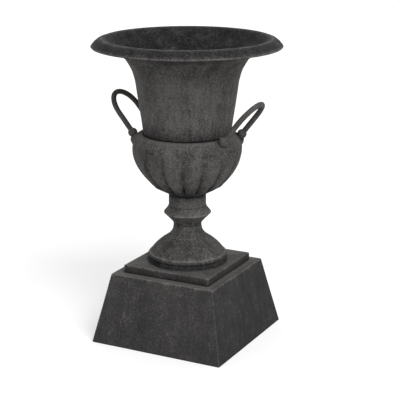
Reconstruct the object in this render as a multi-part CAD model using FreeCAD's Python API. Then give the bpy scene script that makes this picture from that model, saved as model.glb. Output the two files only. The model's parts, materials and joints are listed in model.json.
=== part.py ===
import FreeCAD, Part
import math
import os

# Floor-standing urn planter with two upright loop handles, on a tapered square plinth.
# Millimetres. The origin is the middle of the plinth's underside and +Z is up. The plinth's faces
# look along X and Y, and the two handles stand at +X and -X.

# Plinth: one hollow casting, open underneath
plinth_bottom_half = 191.7
plinth_top_half = 151.1
plinth_height = 188.7
plinth_wall = 8.0
plinth_top_plate = 9.0
plinth_edge_round = 3.0

# Square slab under the foot
slab_half = 126.3
slab_thickness = 20.7
slab_edge_round = 2.0

# Foot: a turned hollow casting of a fillet, a ring, a bead, a bell and a neck
foot_fillet_radius = 108.6
foot_fillet_height = 2.2
foot_ring_radius = 105.0
foot_ring_height = 10.4
bead_radius = 107.2
bead_height = 11.0
bell_lip_radius = 102.0
bell_height = 78.4
bell_curve_shares = ((0.775, 0.23), (0.52, 0.42), (0.198, 0.61), (0.042, 0.775), (0.0, 0.94))
bore_start_share = 0.86
neck_radius = 37.5
neck_wall = 11.5
foot_wall = 8.0

# Knop: a ring with two sloping faces, between the neck and the collar
knop_radius = 63.4
knop_edge = 1.4
knop_lower_height = 31.0
knop_upper_height = 15.0
knop_step_overhang = 1.6
knop_step_height = 2.6
knop_spigot_wall = 6.0
knop_cove_shares = ((0.04, 0.13), (0.17, 0.29), (0.52, 0.61))

# Collar: the short drum that carries the bowl
collar_radius = 50.0
collar_height = 35.6
collar_wall = 20.0

# Spigots that centre the turned pieces in each other's bores
spigot_length = 5.0
spigot_fit = 0.2

# Bowl: lobed below, with a plain rounded shoulder above
bowl_seat_overhang = 2.5
bowl_underside_width = 18.1
bowl_underside_height = 21.0
lobe_count = 16
lobe_height = 110.0
lobe_proud = 0.4
lobe_turn_in_height = 13.0
lobe_lower_radius = 91.5
lobe_groove_depth = 7.5
lobe_fullness = 1.85
groove_end_depth = 0.4
lobe_sections = 10
underside_groove_share = 0.25
bowl_hollow_shares = (0.0, 0.16, 0.42, 0.7, 0.93)
bowl_wall = 7.5
bowl_floor = 11.0
shoulder_round = 16.4
shoulder_height = 30.6
shelf_ledge = 13.0
shoulder_curve_shares = ((0.16, 0.4), (0.55, 0.8))
shelf_edge_share = 0.985
shelf_thickness = 10.0
shelf_bolt_edge = 10.0

# Rim: a cast ring with a rounded crown and a sharp lower edge
rim_radius = 250.0
rim_overhang = 34.0
rim_edge_height = 5.3
rim_edge_thickness = 2.6
rim_crown_inset = 28.0
rim_crown_height = 26.5
rim_seat_length = 30.0
rim_inner_height = 3.0
rim_face_shares = ((0.72, 0.47), (0.36, 0.84))
rim_throat_shares = ((0.3, 0.12), (0.72, 0.55))

# Upper body: a flaring drum with an inner flange at its foot
body_lower_swell = 13.1
body_waist_height = 91.4
body_upper_swell = 16.0
body_throat_height = 171.4
body_flare_reach = 70.9
body_flare_height = 226.9
body_wall = 8.0
body_flange = 8.0
body_lower_shares = (0.42, 0.45)
body_middle_shares = (0.45, 0.63)
flare_curve_shares = ((0.24, 0.54), (0.62, 0.87))
body_inner_points = 9

# Handles: a bent round bar, a ball at each end and a cast boss under each ball
ball_stand_off = 28.4
handle_ball_rise = 0.7
handle_half_spacing = 55.3
handle_length = 119.6
handle_tilt = 38.5
handle_bar_radius = 7.2
handle_turns = (0.1, 182.4)
ball_wall = 5.3
ball_socket_floor = 3.5
ball_bridge = 5.5
ball_seat_fit = 0.3
socket_fit = 0.15
boss_wall = 6.0
boss_depth = 42.0
boss_cup_inset = 0.9
boss_cup_depth = 7.5
boss_cup_lip = 3.0
boss_swell_shares = ((0.98, 0.75), (1.0, 0.5), (0.82, 0.3))
boss_end_share = 0.8
pad_radius = 13.0
pad_depth = 33.0

# Fasteners: studs of the handles, and screws and bolts of the castings
m8_radius = 4.0
m8_nut_flats = 13.0
m8_nut_height = 6.5
m8_washer_radius = 8.5
m8_washer_thickness = 1.6
m8_head_height = 5.5
m6_radius = 3.0
m6_head_radius = 5.0
m6_head_height = 4.0
hole_clearance = 0.4
thread_clearance = 0.08
thread_showing = 3.0
body_bolt_count = 6
body_bolt_inset = 17.5
slab_screw_place = 88.0
slab_screw_grip = 13.0
rim_screw_count = 8
rim_screw_inset = 13.0
rim_screw_grip = 9.0
rim_screw_rise = 1.0

# Drain and tie: a flanged drain in the bowl, and a threaded tube that clamps the castings together
tube_radius = 10.65
tube_bore = 8.0
tube_clearance = 0.85
drain_flange_radius = 28.0
drain_flange_thickness = 5.0
drain_socket_wall = 5.2
drain_socket_length = 26.0
drain_socket_clearance = 1.0
tube_end_in_socket = 2.0
seal_thickness = 3.0
seal_set_in = 1.5
strainer_radius = 24.0
strainer_thickness = 2.5
strainer_hole_radius = 2.0
strainer_fit = 0.3
strainer_ring_step = 7.5
strainer_ring_count = 2
strainer_first_ring_count = 6
tie_washer_radius = 30.0
tie_washer_thickness = 4.0
tie_nut_wall = 7.35
tie_nut_height = 14.0
tube_showing = 8.0

# Radii that follow from the rim inwards and down, and from each piece to what fits it
body_flare_radius = rim_radius - rim_overhang
rim_crown_radius = rim_radius - rim_crown_inset
rim_screw_circle = body_flare_radius - rim_screw_inset
body_throat_radius = body_flare_radius - body_flare_reach
body_waist_radius = body_throat_radius - body_upper_swell
body_foot_radius = body_waist_radius - body_lower_swell
body_bolt_circle = body_foot_radius - body_bolt_inset
shelf_opening = body_bolt_circle - shelf_bolt_edge
shelf_radius = body_foot_radius + shelf_ledge
shoulder_radius = shelf_radius + shoulder_round
lobe_widest_radius = shoulder_radius + lobe_proud
lobe_widest_height = lobe_height - lobe_turn_in_height
ball_circle = body_foot_radius + ball_stand_off
handle_reach = math.sqrt(ball_circle ** 2 - handle_half_spacing ** 2)
ball_radius = handle_bar_radius + ball_wall
boss_radius = ball_radius + boss_wall
boss_cup_radius = ball_radius - boss_cup_inset
neck_bore = neck_radius - neck_wall
knop_bore = neck_bore - knop_spigot_wall
knop_step_radius = collar_radius + knop_step_overhang
collar_bore = collar_radius - collar_wall
bowl_seat_radius = collar_radius + bowl_seat_overhang
bowl_underside_radius = bowl_seat_radius + bowl_underside_width
tie_nut_flats = 2 * (tube_radius + tie_nut_wall)

# Heights of the seats, from the ground up
slab_base = plinth_height
foot_base = slab_base + slab_thickness
knop_base = foot_base + foot_fillet_height + foot_ring_height + bead_height + bell_height
collar_base = knop_base + knop_lower_height + knop_edge + knop_upper_height + knop_step_height
bowl_base = collar_base + collar_height
lobe_base = bowl_base + bowl_underside_height
shoulder_base = lobe_base + lobe_height
body_base = shoulder_base + shoulder_height
rim_base = body_base + body_flare_height
bowl_inside_floor = bowl_base + bowl_floor
plinth_ceiling = plinth_height - plinth_top_plate
rim_screw_seat = rim_base + rim_screw_rise
rim_screw_tip = rim_screw_seat + rim_screw_grip
drain_socket_radius = tube_radius + thread_clearance + drain_socket_wall
drain_socket_bottom = bowl_inside_floor + seal_thickness - drain_socket_length
drain_hole = drain_socket_radius + drain_socket_clearance
tube_top = bowl_inside_floor + seal_thickness - tube_end_in_socket
tie_nut_top = plinth_ceiling - tie_washer_thickness
tube_hole = tube_radius + tube_clearance
m8_hole = m8_radius + hole_clearance

up = FreeCAD.Vector(0, 0, 1)
origin = FreeCAD.Vector(0, 0, 0)


def outline(start, *steps):
    """Edges in the XZ plane from radius and height pairs.

    A step of one pair draws a line, of two pairs an arc through the first to the second, and of
    more pairs a smooth curve through them all.
    """
    edges = []
    here = FreeCAD.Vector(start[0], 0, start[1])
    for step in steps:
        ahead = [FreeCAD.Vector(radius, 0, height) for radius, height in step]
        if len(ahead) == 1:
            edges.append(Part.LineSegment(here, ahead[0]).toShape())
        elif len(ahead) == 2:
            edges.append(Part.Arc(here, ahead[0], ahead[1]).toShape())
        else:
            curve = Part.BSplineCurve()
            curve.interpolate([here] + ahead)
            edges.append(curve.toShape())
        here = ahead[-1]
    return edges


def turned(start, *steps):
    """A solid turned about the Z axis from a closed outline, which is closed by a line if need be."""
    edges = outline(start, *steps)
    first = FreeCAD.Vector(start[0], 0, start[1])
    last = edges[-1].Vertexes[-1].Point
    if not last.isEqual(first, 1e-6):
        edges.append(Part.LineSegment(last, first).toShape())
    return Part.Face(Part.Wire(edges)).revolve(origin, up, 360)


def rod(radius, bottom, top, x=0.0, y=0.0):
    return Part.makeCylinder(radius, top - bottom, FreeCAD.Vector(x, y, bottom))


def tube(outer, inner, bottom, top, x=0.0, y=0.0):
    return rod(outer, bottom, top, x, y).cut(rod(inner, bottom, top, x, y))


def hexagon(flats, bore, bottom, top, x=0.0, y=0.0):
    """A nut's six-sided prism with a round hole."""
    reach = flats / math.sqrt(3)
    corners = []
    for side in range(7):
        angle = math.radians(60 * side)
        corners.append(FreeCAD.Vector(x + reach * math.cos(angle), y + reach * math.sin(angle), bottom))
    prism = Part.Face(Part.makePolygon(corners)).extrude(up * (top - bottom))
    return prism.cut(rod(bore, bottom, top, x, y))


def circle_places(radius, count, first=0.0):
    """X and Y of places evenly spaced on a circle."""
    places = []
    for number in range(count):
        angle = math.radians(first + 360.0 * number / count)
        places.append((radius * math.cos(angle), radius * math.sin(angle)))
    return places


def square_frustum(bottom_half, top_half, bottom, top):
    wires = []
    for half, height in ((bottom_half, bottom), (top_half, top)):
        corners = [(-half, -half), (half, -half), (half, half), (-half, half), (-half, -half)]
        wires.append(Part.makePolygon([FreeCAD.Vector(x, y, height) for x, y in corners]))
    return Part.makeLoft(wires, True, True)


def on_stud(shape, side, turn):
    """Moves a shape from the Z axis to a ball's centre, with its +Z up the handle's leg."""
    placed = shape.copy()
    placed.rotate(origin, FreeCAD.Vector(0, 1, 0), handle_tilt)
    placed.translate(FreeCAD.Vector(handle_reach, side * handle_half_spacing, body_base + handle_ball_rise))
    placed.rotate(origin, up, turn)
    return placed


stud_places = [(side, turn) for turn in handle_turns for side in (-1, 1)]
slab_screw_places = [(x * slab_screw_place, y * slab_screw_place) for x in (-1, 1) for y in (-1, 1)]
body_bolt_places = circle_places(body_bolt_circle, body_bolt_count, 180.0 / body_bolt_count)
rim_screw_places = circle_places(rim_screw_circle, rim_screw_count)


# Plinth and slab

def make_plinth():
    """The tapered hollow casting, its upright and upper edges slightly rounded."""
    solid = square_frustum(plinth_bottom_half, plinth_top_half, 0, plinth_height)
    kept_sharp = [edge for edge in solid.Edges if edge.BoundBox.ZMax < plinth_height / 2]
    rounded = [edge for edge in solid.Edges if not any(edge.isSame(other) for other in kept_sharp)]
    solid = solid.makeFillet(plinth_edge_round, rounded)
    slope = (plinth_bottom_half - plinth_top_half) / plinth_height
    side_wall = plinth_wall * math.sqrt(1 + slope * slope)
    inside_bottom = plinth_bottom_half - side_wall
    inside_top = inside_bottom - slope * plinth_ceiling
    solid = solid.cut(square_frustum(inside_bottom, inside_top, 0, plinth_ceiling))
    holes = [rod(m8_hole, plinth_ceiling, plinth_height, x, y) for x, y in slab_screw_places]
    return solid.cut([rod(tube_hole, plinth_ceiling, plinth_height)] + holes)


def make_slab():
    """The square slab, with blind threaded holes underneath for its screws."""
    corner = FreeCAD.Vector(-slab_half, -slab_half, slab_base)
    solid = Part.makeBox(2 * slab_half, 2 * slab_half, slab_thickness, corner)
    upper_edges = [edge for edge in solid.Edges if edge.BoundBox.ZMax > slab_base + slab_thickness / 2]
    solid = solid.makeFillet(slab_edge_round, upper_edges)
    thread = m8_radius + thread_clearance
    top = slab_base + slab_screw_grip + thread_showing
    holes = [rod(thread, slab_base, top, x, y) for x, y in slab_screw_places]
    return solid.cut([rod(tube_hole, slab_base, foot_base)] + holes)


def make_slab_screws():
    """Hexagon head screws driven up through the plinth's top plate into the slab."""
    screws = []
    seat = plinth_ceiling - m8_washer_thickness
    for x, y in slab_screw_places:
        shank = rod(m8_radius, seat, slab_base + slab_screw_grip, x, y)
        head = hexagon(m8_nut_flats, m8_radius, seat - m8_head_height, seat, x, y)
        plug = rod(m8_radius, seat - m8_head_height, seat, x, y)
        screws.append(shank.fuse(head).fuse(plug).removeSplitter())
    return Part.makeCompound(screws)


def make_slab_washers():
    bottom = plinth_ceiling - m8_washer_thickness
    return Part.makeCompound([tube(m8_washer_radius, m8_hole, bottom, plinth_ceiling, x, y)
                              for x, y in slab_screw_places])


# Foot, knop and collar

def make_foot():
    """The hollow turned foot: fillet, ring, bead, bell and neck."""
    ring_base = foot_base + foot_fillet_height
    bead_base = ring_base + foot_ring_height
    bell_base = bead_base + bead_height
    swell = bell_lip_radius - neck_radius
    bell = [(neck_radius + outward * swell, bell_base + climb * bell_height)
            for outward, climb in bell_curve_shares]
    wide_part = [(radius, height) for radius, height in bell if radius - foot_wall > neck_bore]
    inside = [(radius - foot_wall, height - foot_wall / 2) for radius, height in wide_part]
    inside.append((neck_bore, bell_base + bore_start_share * bell_height))
    outer = turned((0, foot_base),
                   [(foot_fillet_radius, foot_base)],
                   [(foot_fillet_radius, ring_base)],
                   [(foot_ring_radius, ring_base)],
                   [(foot_ring_radius, bead_base)],
                   [(bead_radius, bead_base + bead_height / 2), (bell_lip_radius, bell_base)],
                   bell,
                   [(neck_radius, knop_base)],
                   [(0, knop_base)])
    hollow_radius = bell_lip_radius - foot_wall
    inner = turned((0, foot_base),
                   [(hollow_radius, foot_base)],
                   [(hollow_radius, bell_base - foot_wall / 2)],
                   inside,
                   [(neck_bore, knop_base)],
                   [(0, knop_base)])
    return outer.cut(inner)


def make_knop():
    """The double-sloped ring, with a spigot each end."""
    edge_base = knop_base + knop_lower_height
    edge_top = edge_base + knop_edge
    step_base = edge_top + knop_upper_height
    widen = knop_radius - neck_radius
    cove = [(neck_radius + outward * widen, knop_base + climb * knop_lower_height)
            for outward, climb in knop_cove_shares]
    solid = turned((0, knop_base),
                   [(neck_radius, knop_base)],
                   cove,
                   [(knop_radius, edge_base)],
                   [(knop_radius, edge_top)],
                   [(knop_step_radius, step_base)],
                   [(knop_step_radius, collar_base)],
                   [(0, collar_base)])
    lower = rod(neck_bore - spigot_fit, knop_base - spigot_length, knop_base)
    upper = rod(collar_bore - spigot_fit, collar_base, collar_base + spigot_length)
    bore = rod(knop_bore, knop_base - spigot_length, collar_base + spigot_length)
    return solid.fuse(lower).fuse(upper).cut(bore).removeSplitter()


def make_collar():
    return tube(collar_radius, collar_bore, collar_base, bowl_base)


# Bowl

def scalloped_ring(height, crest, depth):
    """A closed outline of outward arcs that meet in grooves."""
    step = 2 * math.pi / lobe_count

    def place(radius, angle):
        return FreeCAD.Vector(radius * math.cos(angle), radius * math.sin(angle), height)

    arcs = []
    for number in range(lobe_count):
        ends = [place(crest - depth, step * number), place(crest - depth, step * (number + 1))]
        arcs.append(Part.Arc(ends[0], place(crest, step * (number + 0.5)), ends[1]).toShape())
    return Part.Wire(arcs)


def lobe_crest(height):
    """Radius of the lobes' crests at a height above their lower ends, a rounded swell."""
    if height >= lobe_widest_height:
        along = (height - lobe_widest_height) / (lobe_height - lobe_widest_height)
        return lobe_widest_radius + (shoulder_radius - lobe_widest_radius) * along
    left = 1 - height / lobe_widest_height
    return lobe_lower_radius + (lobe_widest_radius - lobe_lower_radius) * (1 - left ** lobe_fullness)


def groove_depth(height):
    """The grooves are deep at the lobes' lower ends and run out under the shoulder."""
    return groove_end_depth + (lobe_groove_depth - groove_end_depth) * math.sqrt(1 - height / lobe_height)


def bowl_envelope():
    """The bowl's outside as a full solid, from its seat on the collar to the upper body's seat."""
    underside_groove = underside_groove_share * lobe_groove_depth
    underside_middle = bowl_base + bowl_underside_height / 2
    rings = [scalloped_ring(bowl_base, bowl_seat_radius, 0),
             scalloped_ring(underside_middle, bowl_underside_radius, underside_groove)]
    for number in range(lobe_sections + 1):
        height = lobe_height * number / lobe_sections
        rings.append(scalloped_ring(lobe_base + height, lobe_crest(height), groove_depth(height)))
    round_in = shoulder_radius - shelf_radius
    for inward, climb in shoulder_curve_shares:
        height = shoulder_base + climb * shoulder_height
        rings.append(scalloped_ring(height, shoulder_radius - inward * round_in, 0))
    shelf_edge = shoulder_base + shelf_edge_share * shoulder_height
    rings.append(scalloped_ring(shelf_edge, shelf_radius, 0))
    shelf = turned((0, shelf_edge),
                   [(shelf_radius, shelf_edge)],
                   [(body_foot_radius, body_base)],
                   [(0, body_base)])
    return Part.makeLoft(rings, True, False).fuse(shelf)


def bowl_hollow():
    """The planting space inside the bowl, up through the opening in its shelf."""
    curve = []
    for share in bowl_hollow_shares:
        height = share * lobe_height
        radius = lobe_crest(height) - groove_depth(height) - bowl_wall
        curve.append((radius, lobe_base + height + bowl_wall / 2))
    shelf_underside = body_base - shelf_thickness
    curve.append((shelf_radius - bowl_wall, shelf_underside))
    return turned((0, bowl_inside_floor),
                  [(collar_radius, bowl_inside_floor)],
                  [curve[0]],
                  curve[1:],
                  [(shelf_opening, shelf_underside)],
                  [(shelf_opening, body_base)],
                  [(0, body_base)])


def make_bowl(envelope):
    """The lobed casting, with flat pads inside for the handles' nuts."""
    solid = envelope.cut(bowl_hollow())
    pads = [on_stud(rod(pad_radius, -pad_depth, 0), side, turn) for side, turn in stud_places]
    spigot = rod(collar_bore - spigot_fit, bowl_base - spigot_length, bowl_base)
    solid = solid.fuse([pad.common(envelope) for pad in pads] + [spigot])
    holes = [rod(drain_hole, bowl_base - spigot_length, bowl_inside_floor)]
    for x, y in body_bolt_places:
        holes.append(rod(m8_hole, body_base - shelf_thickness, body_base, x, y))
    for side, turn in stud_places:
        holes.append(on_stud(rod(m8_hole, -boss_depth, 0), side, turn))
        holes.append(on_stud(Part.makeSphere(ball_radius + ball_seat_fit), side, turn))
    return solid.cut(holes)


# Upper body and rim

def flare_curve():
    """The upper body's outer outline, from its foot up to the flare's edge."""
    climb = body_throat_height - body_waist_height
    widen = body_throat_radius - body_waist_radius
    flare = body_flare_radius - body_throat_radius
    rise = body_flare_height - body_throat_height
    swell = body_waist_radius - body_foot_radius
    outward, upward = body_lower_shares
    pairs = [(body_foot_radius, 0),
             (body_foot_radius + outward * swell, upward * body_waist_height),
             (body_waist_radius, body_waist_height)]
    outward, upward = body_middle_shares
    pairs.append((body_waist_radius + outward * widen, body_waist_height + upward * climb))
    pairs.append((body_throat_radius, body_throat_height))
    for outward, upward in flare_curve_shares:
        pairs.append((body_throat_radius + outward * flare, body_throat_height + upward * rise))
    pairs.append((body_flare_radius, body_flare_height))
    curve = Part.BSplineCurve()
    curve.interpolate([FreeCAD.Vector(radius, 0, body_base + height) for radius, height in pairs])
    return curve


def beside(curve, distance_along, inset):
    """Radius and height of the point at a distance along a curve, moved inwards square to it."""
    parameter = curve.parameterAtDistance(distance_along, curve.FirstParameter)
    point = curve.value(parameter)
    tangent = curve.tangent(parameter)[0]
    return point.x - inset * tangent.z, point.z + inset * tangent.x


def make_body():
    """The flaring drum with its inner flange."""
    curve = flare_curve()
    length = curve.length()
    flange_top = body_base + body_flange
    step = length / body_inner_points
    inner = [beside(curve, length - step * number, body_wall) for number in range(body_inner_points)]
    inner.append((body_foot_radius - body_wall, flange_top))
    edges = outline((shelf_opening, body_base), [(body_foot_radius, body_base)])
    edges.append(curve.toShape())
    edges += outline((body_flare_radius, body_base + body_flare_height),
                     [inner[0]],
                     inner[1:],
                     [(shelf_opening, flange_top)],
                     [(shelf_opening, body_base)])
    return Part.Face(Part.Wire(edges)).revolve(origin, up, 360)


def bored_body(body):
    """The upper body with its bolt holes and the counterbored holes of the rim's screws."""
    holes = [rod(m8_hole, body_base, body_base + body_flange, x, y) for x, y in body_bolt_places]
    for x, y in rim_screw_places:
        holes.append(rod(m6_radius + hole_clearance, rim_screw_seat, rim_base + rim_crown_height, x, y))
        holes.append(rod(m6_head_radius + hole_clearance, shoulder_base, rim_screw_seat, x, y))
    return body.cut(holes)


def make_rim(body):
    """The cast ring, shaped on its underside to the flare that it sits on."""
    curve = flare_curve()
    middle = body_wall / 2
    seat_in = beside(curve, curve.length() - rim_seat_length, middle)
    seat_out = beside(curve, curve.length(), middle)
    edge = rim_base + rim_edge_height
    crown = rim_base + rim_crown_height
    face = rim_radius - rim_crown_radius
    drop = rim_crown_height - rim_edge_height
    throat = rim_crown_radius - seat_in[0]
    dip = rim_crown_height - rim_inner_height
    outer_face = [(rim_crown_radius + outward * face, edge + climb * drop)
                  for outward, climb in rim_face_shares]
    inner_face = [(rim_crown_radius - inward * throat, crown - fall * dip)
                  for inward, fall in rim_throat_shares]
    ring = turned(seat_in,
                  [seat_out],
                  [(body_flare_radius, rim_base)],
                  [(rim_radius - rim_edge_thickness, edge - rim_edge_thickness)],
                  [(rim_radius, edge)],
                  outer_face + [(rim_crown_radius, crown)],
                  inner_face + [(seat_in[0], crown - dip)])
    holes = [rod(m6_radius + thread_clearance, rim_screw_seat, rim_screw_tip + thread_showing, x, y)
             for x, y in rim_screw_places]
    return ring.cut([body] + holes)


def make_rim_screws():
    screws = []
    for x, y in rim_screw_places:
        head = rod(m6_head_radius, rim_screw_seat - m6_head_height, rim_screw_seat, x, y)
        screws.append(head.fuse(rod(m6_radius, rim_screw_seat, rim_screw_tip, x, y)))
    return Part.makeCompound(screws)


def make_body_bolts():
    """Bolts with their heads on the upper body's flange and their nuts under the bowl's shelf."""
    seat = body_base + body_flange + m8_washer_thickness
    tip = body_base - shelf_thickness - m8_washer_thickness - m8_nut_height - thread_showing
    bolts = []
    for x, y in body_bolt_places:
        head = hexagon(m8_nut_flats, m8_radius, seat, seat + m8_head_height, x, y)
        bolts.append(rod(m8_radius, tip, seat + m8_head_height, x, y).fuse(head).removeSplitter())
    return Part.makeCompound(bolts)


def make_body_washers():
    above = body_base + body_flange
    below = body_base - shelf_thickness - m8_washer_thickness
    return Part.makeCompound([tube(m8_washer_radius, m8_hole, base, base + m8_washer_thickness, x, y)
                              for x, y in body_bolt_places for base in (above, below)])


def make_body_nuts():
    top = body_base - shelf_thickness - m8_washer_thickness
    bore = m8_radius + thread_clearance
    return Part.makeCompound([hexagon(m8_nut_flats, bore, top - m8_nut_height, top, x, y)
                              for x, y in body_bolt_places])


# Handles

def handle_bar():
    """The bent round bar of a handle at +X, each end in its ball's socket."""
    bend_centre = handle_length - handle_half_spacing
    near = FreeCAD.Vector(0, -handle_half_spacing, ball_socket_floor)
    near_bend = FreeCAD.Vector(0, -handle_half_spacing, bend_centre)
    top = FreeCAD.Vector(0, 0, handle_length)
    far_bend = FreeCAD.Vector(0, handle_half_spacing, bend_centre)
    far = FreeCAD.Vector(0, handle_half_spacing, ball_socket_floor)
    path = Part.Wire([Part.LineSegment(near, near_bend).toShape(),
                      Part.Arc(near_bend, top, far_bend).toShape(),
                      Part.LineSegment(far_bend, far).toShape()])
    section = Part.Wire(Part.Circle(near, up, handle_bar_radius).toShape())
    return path.makePipeShell([section], True, True)


def make_handle(turn):
    bar = handle_bar()
    bar.translate(FreeCAD.Vector(0, handle_half_spacing, 0))
    return on_stud(bar, -1, turn)


def make_ball(side, turn):
    """The ball, with a socket for the bar above and a threaded hole for the stud below."""
    ball = Part.makeSphere(ball_radius)
    socket = rod(handle_bar_radius + socket_fit, ball_socket_floor, ball_radius)
    thread = rod(m8_radius + thread_clearance, -ball_radius, ball_socket_floor - ball_bridge)
    return on_stud(ball.cut([socket, thread]), side, turn)


def make_boss(side, turn, envelope):
    """The rounded boss, cupped above for the ball and shaped below to the bowl's shoulder."""
    boss = turned((0, -boss_depth),
                  [(boss_end_share * boss_radius, -boss_depth)],
                  [(wide * boss_radius, -deep * boss_depth) for wide, deep in boss_swell_shares],
                  [(boss_cup_radius, -boss_cup_depth - boss_cup_lip)],
                  [(boss_cup_radius, -boss_cup_depth)],
                  [(0, -boss_cup_depth)])
    boss = boss.cut([Part.makeSphere(ball_radius), rod(m8_hole, -boss_depth, 0)])
    return on_stud(boss, side, turn).cut(envelope)


def make_handle_studs():
    """Threaded studs from the balls through the bosses and the bowl's pads."""
    bottom = -pad_depth - m8_washer_thickness - m8_nut_height - thread_showing
    stud = rod(m8_radius, bottom, ball_socket_floor - ball_bridge)
    return Part.makeCompound([on_stud(stud, side, turn) for side, turn in stud_places])


def make_handle_washers():
    washer = tube(m8_washer_radius, m8_hole, -pad_depth - m8_washer_thickness, -pad_depth)
    return Part.makeCompound([on_stud(washer, side, turn) for side, turn in stud_places])


def make_handle_nuts():
    top = -pad_depth - m8_washer_thickness
    nut = hexagon(m8_nut_flats, m8_radius + thread_clearance, top - m8_nut_height, top)
    return Part.makeCompound([on_stud(nut, side, turn) for side, turn in stud_places])


# Drain and tie

def make_drain_flange():
    """The flanged drain: a recess for the strainer, the outlet and a threaded socket below."""
    base = bowl_inside_floor + seal_thickness
    top = base + drain_flange_thickness
    flange = rod(drain_flange_radius, base, top)
    socket = rod(drain_socket_radius, drain_socket_bottom, base)
    recess = rod(strainer_radius + strainer_fit, top - strainer_thickness, top)
    thread = rod(tube_radius + thread_clearance, drain_socket_bottom, tube_top)
    return flange.fuse(socket).removeSplitter().cut([recess, thread, rod(tube_bore, tube_top, top)])


def make_seal():
    """The soft washer squeezed between the drain's flange and the bowl's floor."""
    outer = drain_flange_radius - seal_set_in
    return tube(outer, drain_hole, bowl_inside_floor, bowl_inside_floor + seal_thickness)


def make_strainer():
    """The perforated disc that keeps soil out of the drain."""
    top = bowl_inside_floor + seal_thickness + drain_flange_thickness
    bottom = top - strainer_thickness
    holes = [rod(strainer_hole_radius, bottom, top)]
    for ring in range(1, strainer_ring_count + 1):
        places = circle_places(ring * strainer_ring_step, ring * strainer_first_ring_count)
        holes += [rod(strainer_hole_radius, bottom, top, x, y) for x, y in places]
    return rod(strainer_radius, bottom, top).cut(holes)


def make_tie_tube():
    bottom = tie_nut_top - tie_nut_height - tube_showing
    return tube(tube_radius, tube_bore, bottom, tube_top)


def make_tie_washer():
    return tube(tie_washer_radius, tube_hole, tie_nut_top, plinth_ceiling)


def make_tie_nut():
    return hexagon(tie_nut_flats, tube_radius + thread_clearance, tie_nut_top - tie_nut_height, tie_nut_top)


envelope = bowl_envelope()
body = make_body()
nodes = {
    "plinth": make_plinth(),
    "base_slab": make_slab(),
    "slab_screws": make_slab_screws(),
    "slab_washers": make_slab_washers(),
    "pedestal_foot": make_foot(),
    "stem_knop": make_knop(),
    "stem_collar": make_collar(),
    "lobed_bowl": make_bowl(envelope),
    "upper_body": bored_body(body),
    "rim_ring": make_rim(body),
    "rim_screws": make_rim_screws(),
    "body_bolts": make_body_bolts(),
    "body_washers": make_body_washers(),
    "body_nuts": make_body_nuts(),
    "handle_studs": make_handle_studs(),
    "handle_washers": make_handle_washers(),
    "handle_nuts": make_handle_nuts(),
    "drain_flange": make_drain_flange(),
    "drain_seal": make_seal(),
    "drain_strainer": make_strainer(),
    "tie_tube": make_tie_tube(),
    "tie_washer": make_tie_washer(),
    "tie_nut": make_tie_nut(),
}
for hand, turn in zip(("right", "left"), handle_turns):
    nodes["handle_" + hand] = make_handle(turn)
    for end, side in (("a", -1), ("b", 1)):
        nodes["handle_ball_" + hand + "_" + end] = make_ball(side, turn)
        nodes["handle_boss_" + hand + "_" + end] = make_boss(side, turn, envelope)

os.makedirs("parts", exist_ok=True)
for name, shape in nodes.items():
    print(name, len(shape.Solids), "solid(s), valid", shape.isValid())
    shape.exportStep("parts/" + name + ".step")
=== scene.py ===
import json
import math

import bpy
from mathutils import Matrix, Vector, noise


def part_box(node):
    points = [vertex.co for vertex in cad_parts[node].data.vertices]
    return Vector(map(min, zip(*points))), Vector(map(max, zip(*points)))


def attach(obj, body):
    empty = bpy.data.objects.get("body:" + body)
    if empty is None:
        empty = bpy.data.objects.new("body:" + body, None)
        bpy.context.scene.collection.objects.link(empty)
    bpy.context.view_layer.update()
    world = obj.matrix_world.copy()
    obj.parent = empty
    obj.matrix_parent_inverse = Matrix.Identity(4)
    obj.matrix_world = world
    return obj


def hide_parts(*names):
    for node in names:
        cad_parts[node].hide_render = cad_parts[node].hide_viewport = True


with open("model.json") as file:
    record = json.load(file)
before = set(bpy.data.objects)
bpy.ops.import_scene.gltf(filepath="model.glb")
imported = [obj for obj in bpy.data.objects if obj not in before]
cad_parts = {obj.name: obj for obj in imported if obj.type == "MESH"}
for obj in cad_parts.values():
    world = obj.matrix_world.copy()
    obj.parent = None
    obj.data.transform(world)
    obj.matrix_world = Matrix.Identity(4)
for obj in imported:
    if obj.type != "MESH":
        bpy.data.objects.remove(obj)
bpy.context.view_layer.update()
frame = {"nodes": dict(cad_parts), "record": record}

# Sizes are in millimetres and heights above the piece's own base, unless a note says otherwise
mm = 0.001

# Seats of the castings, read from the frame, in metres
seat = {
    "slab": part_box("base_slab")[0].z,
    "foot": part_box("base_slab")[1].z,
    "knop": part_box("pedestal_foot")[1].z,
    "collar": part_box("stem_collar")[0].z,
    "bowl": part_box("stem_collar")[1].z,
    "body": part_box("upper_body")[0].z,
    "crown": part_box("rim_ring")[1].z,
}


# Outlines: a closed list of corners (radius, height, rounding, tone, shade) or of
# ("curve", points, steps, shade). Tone makes an edge close by lighter (1), as wear and painted highlight, or
# a crevice darker (-1), as painted shade. Shade is how much lighter or darker the casting's skin is there,
# carried evenly to the next shade: partly its own tone and stains, partly painted shade and light.

cornerRule = {"steps": 5, "longestShare": 0.45, "shoulderShare": 0.35,
              "flatEnough": 0.05}  # in radians


def smoothThrough(points, steps):
    ends = [points[0]] + list(points) + [points[-1]]
    line = []
    for number in range(1, len(ends) - 2):
        before, start, end, after = (Vector(ends[number + k][:2]) for k in (-1, 0, 1, 2))
        for step in range(steps):
            t = step / steps
            line.append(0.5 * ((2 * start) + (end - before) * t
                               + (2 * before - 5 * start + 4 * end - after) * t ** 2
                               + (3 * start - before - 3 * end + after) * t ** 3))
    line.append(Vector(points[-1][:2]))
    return line


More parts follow.
